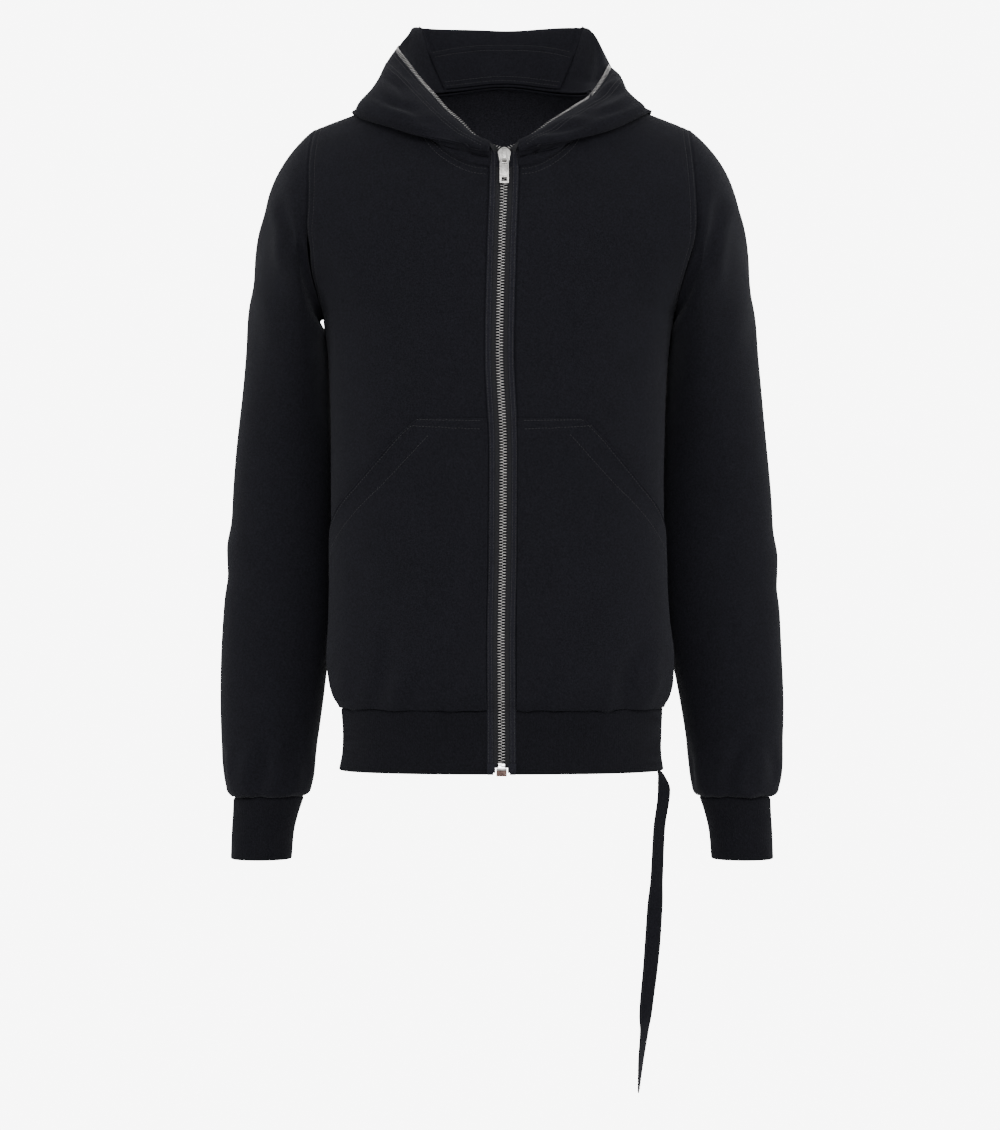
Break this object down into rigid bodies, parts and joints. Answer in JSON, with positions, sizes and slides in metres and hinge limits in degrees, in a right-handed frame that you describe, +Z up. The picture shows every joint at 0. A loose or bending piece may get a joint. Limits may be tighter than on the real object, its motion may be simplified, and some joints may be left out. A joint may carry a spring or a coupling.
{
  "type": "zip up hoodie",
  "caption": "Long-sleeved zip up hoodie, filled out as worn, with its zipped hood folded down behind the neck and front pockets.",
  "frame": {"origin": "middle of the neck opening, level with the sides of the neck, where the wearer's neck and shoulders hold the garment", "axes": "+Z up along the wearer, +X to the wearer's left, -Y out of the zipped front"},
  "size_m": [0.592, 0.3, 1.1181],
  "materials": {
    "fleece": "matte brushed sweatshirt fleece",
    "rib": "matte fine rib knit",
    "zip_tape": "woven herringbone tape",
    "strap": "matte self-fabric strap",
    "zip_metal": "polished nickel"
  },
  "bodies": {
    "garment": {"back": "fleece", "hood_center": "fleece", "hem_band": "rib", "front_right": "fleece", "sleeve_right": "fleece", "cuff_right": "rib", "hood_right": "fleece", "pocket_right": "fleece", "zip_strip_right": "fleece", "zip_tape_right": "zip_tape", "hood_zip_right": "zip_metal", "front_left": "fleece", "sleeve_left": "fleece", "cuff_left": "rib", "hood_left": "fleece", "pocket_left": "fleece", "zip_strip_left": "fleece", "zip_tape_left": "zip_tape", "hood_zip_left": "zip_metal", "neck_facing": "fleece", "zip_chain": "zip_metal", "zip_box": "zip_metal", "zip_slider": "zip_metal", "strap": "strap"},
    "pull": {"zip_pull": "zip_metal"}
  },
  "joints": [
    {"name": "pull_swing", "type": "hinge", "parent": "garment", "child": "pull", "pos_m": [0.0022, -0.11179, -0.08241], "axis": [1, 0, 0], "range_deg": [-110, 0]}
  ]
}
